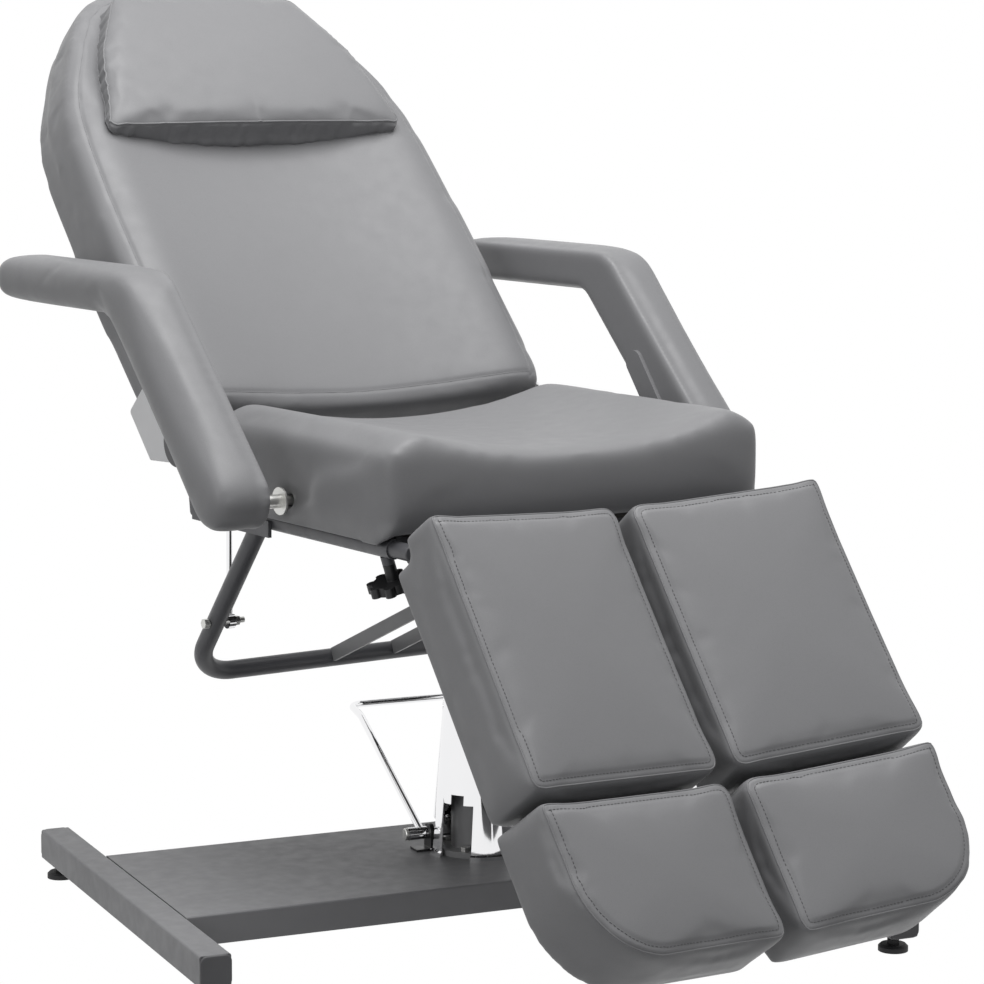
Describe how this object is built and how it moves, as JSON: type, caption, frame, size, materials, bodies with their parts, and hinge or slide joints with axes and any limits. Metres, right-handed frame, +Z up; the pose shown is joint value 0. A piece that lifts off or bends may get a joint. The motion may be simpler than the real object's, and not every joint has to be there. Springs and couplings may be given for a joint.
{
  "type": "treatment chair",
  "caption": "Hydraulic treatment chair with reclining back, split leg rests, swinging padded arms and a head pillow on a two-bar base with a folded cover.",
  "frame": {"origin": "on the floor under the axis of the lift column", "axes": "+Z up; -Y is the way a sitter faces; +X is the sitter's left"},
  "size_m": [1.0349, 1.5799, 1.2328],
  "materials": {
    "base_paint": "satin grey powder coat",
    "cap_plastic": "matte dark plastic",
    "foot_rubber": "matte black",
    "pump_paint": "satin grey enamel",
    "steel": "zinc plated",
    "chrome": "polished",
    "black_paint": "satin black",
    "frame_paint": "satin dark grey powder coat",
    "strap_paint": "satin light grey powder coat",
    "plywood": "black stained plywood",
    "upholstery": "grained grey faux leather",
    "lever_metal": "light satin",
    "knob_plastic": "matte black"
  },
  "bodies": {
    "base": {"base_bar_left": "base_paint", "base_bar_right": "base_paint", "bar_end_caps": "cap_plastic", "base_rails": "base_paint", "base_cover": "base_paint", "pump_body": "pump_paint", "pump_bolts": "steel", "column_shroud": "chrome", "pedal_bracket": "black_paint", "pedal_pin": "steel"},
    "foot_front_left": {"levelling_foot_front_left": "foot_rubber"},
    "foot_front_right": {"levelling_foot_front_right": "foot_rubber"},
    "foot_rear_left": {"levelling_foot_rear_left": "foot_rubber"},
    "foot_rear_right": {"levelling_foot_rear_right": "foot_rubber"},
    "pedal": {"pump_pedal": "chrome"},
    "lift": {"lift_piston": "steel"},
    "seat_frame": {"swivel_saddle": "frame_paint", "cross_bars": "frame_paint", "frame_tube": "frame_paint", "straps": "strap_paint", "seat_board": "plywood", "seat_cushion": "upholstery", "arm_lugs": "frame_paint", "arm_pivot_bolts": "steel", "recline_brackets": "frame_paint", "recline_pins": "steel", "strut_rods": "chrome", "strut_bolts": "steel"},
    "backrest": {"backrest_board": "plywood", "backrest_cushion": "upholstery", "recline_levers": "lever_metal", "hinge_covers": "cap_plastic"},
    "strut_left": {"strut_sleeve_left": "black_paint"},
    "strut_right": {"strut_sleeve_right": "black_paint"},
    "pillow": {"head_pillow": "upholstery"},
    "arm_left": {"armrest_pad_left": "upholstery", "armrest_plate_left": "frame_paint"},
    "arm_right": {"armrest_pad_right": "upholstery", "armrest_plate_right": "frame_paint"},
    "carrier_left": {"leg_carrier_left": "frame_paint"},
    "carrier_right": {"leg_carrier_right": "frame_paint"},
    "leg_left": {"calf_cushion_left": "upholstery", "calf_board_left": "plywood", "leg_hinge_left": "frame_paint"},
    "leg_right": {"calf_cushion_right": "upholstery", "calf_board_right": "plywood", "leg_hinge_right": "frame_paint"},
    "footrest_left": {"foot_cushion_left": "upholstery", "foot_board_left": "plywood", "foot_slide_left": "frame_paint"},
    "footrest_right": {"foot_cushion_right": "upholstery", "foot_board_right": "plywood", "foot_slide_right": "frame_paint"},
    "knob_left": {"leg_lock_knob_left": "knob_plastic"},
    "knob_right": {"leg_lock_knob_right": "knob_plastic"}
  },
  "joints": [
    {"name": "turn_front_left_foot", "type": "hinge", "parent": "base", "child": "foot_front_left", "pos_m": [-0.5361, -0.21644, 0.011], "axis": [0, 0, 1], "continuous": true},
    {"name": "turn_rear_left_foot", "type": "hinge", "parent": "base", "child": "foot_rear_left", "pos_m": [-0.42375, 0.3933, 0.011], "axis": [0, 0, 1], "continuous": true},
    {"name": "turn_front_right_foot", "type": "hinge", "parent": "base", "child": "foot_front_right", "pos_m": [0.28438, -0.51506, 0.011], "axis": [0, 0, 1], "continuous": true},
    {"name": "turn_rear_right_foot", "type": "hinge", "parent": "base", "child": "foot_rear_right", "pos_m": [0.44927, 0.37988, 0.011], "axis": [0, 0, 1], "continuous": true},
    {"name": "press_pedal", "type": "hinge", "parent": "base", "child": "pedal", "pos_m": [-0.06967, 0.04131, 0.085], "axis": [0.9834, -0.1812, 0], "range_deg": [-15, 0], "stiffness_Nm_per_rad": 12, "springref_deg": 11.46},
    {"name": "lift_seat", "type": "slide", "parent": "base", "child": "lift", "axis": [0, 0, 1], "range_m": [0, 0.16]},
    {"name": "swivel_seat", "type": "hinge", "parent": "lift", "child": "seat_frame", "pos_m": [0, 0, 0.35], "axis": [0, 0, 1], "range_deg": [-45, 6]},
    {"name": "recline_back", "type": "hinge", "parent": "seat_frame", "child": "backrest", "pos_m": [0, 0.262, 0.606], "axis": [1, 0, 0], "range_deg": [-46.6, 10]},
    {"name": "strut_pivot_left", "type": "hinge", "parent": "backrest", "child": "strut_left", "pos_m": [-0.25, 0.228, 0.594], "axis": [1, 0, 0], "range_deg": [-11, 47]},
    {"name": "swing_arm_left", "type": "hinge", "parent": "seat_frame", "child": "arm_left", "pos_m": [-0.348, 0.013, 0.556], "axis": [1, 0, 0], "range_deg": [-60, 0]},
    {"name": "extend_leg_left", "type": "slide", "parent": "seat_frame", "child": "carrier_left", "axis": [0, -1, 0], "range_m": [0, 0.06]},
    {"name": "raise_leg_left", "type": "hinge", "parent": "carrier_left", "child": "leg_left", "pos_m": [-0.15, -0.248, 0.515], "axis": [1, 0, 0], "range_deg": [-50, 0]},
    {"name": "extend_foot_left", "type": "slide", "parent": "leg_left", "child": "footrest_left", "axis": [0, -0.6004, -0.7997], "range_m": [0, 0.03]},
    {"name": "turn_knob_left", "type": "hinge", "parent": "seat_frame", "child": "knob_left", "pos_m": [-0.25455, -0.19, 0.47345], "axis": [0.309, 0, -0.9511], "continuous": true},
    {"name": "strut_pivot_right", "type": "hinge", "parent": "backrest", "child": "strut_right", "pos_m": [0.25, 0.228, 0.594], "axis": [1, 0, 0], "range_deg": [-11, 47]},
    {"name": "swing_arm_right", "type": "hinge", "parent": "seat_frame", "child": "arm_right", "pos_m": [0.348, 0.013, 0.556], "axis": [1, 0, 0], "range_deg": [-60, 0]},
    {"name": "extend_leg_right", "type": "slide", "parent": "seat_frame", "child": "carrier_right", "axis": [0, -1, 0], "range_m": [0, 0.06]},
    {"name": "raise_leg_right", "type": "hinge", "parent": "carrier_right", "child": "leg_right", "pos_m": [0.15, -0.248, 0.515], "axis": [1, 0, 0], "range_deg": [-50, 0]},
    {"name": "extend_foot_right", "type": "slide", "parent": "leg_right", "child": "footrest_right", "axis": [0, -0.6004, -0.7997], "range_m": [0, 0.03]},
    {"name": "turn_knob_right", "type": "hinge", "parent": "seat_frame", "child": "knob_right", "pos_m": [0.25455, -0.19, 0.47345], "axis": [-0.309, 0, -0.9511], "continuous": true},
    {"name": "slide_pillow", "type": "slide", "parent": "backrest", "child": "pillow", "axis": [0, 0.6871, 0.7266], "range_m": [-0.08, 0]}
  ],
  "couplings": [
    {"joint": "strut_pivot_left", "follows": "recline_back", "ratio": -1},
    {"joint": "strut_pivot_right", "follows": "recline_back", "ratio": -1}
  ]
}
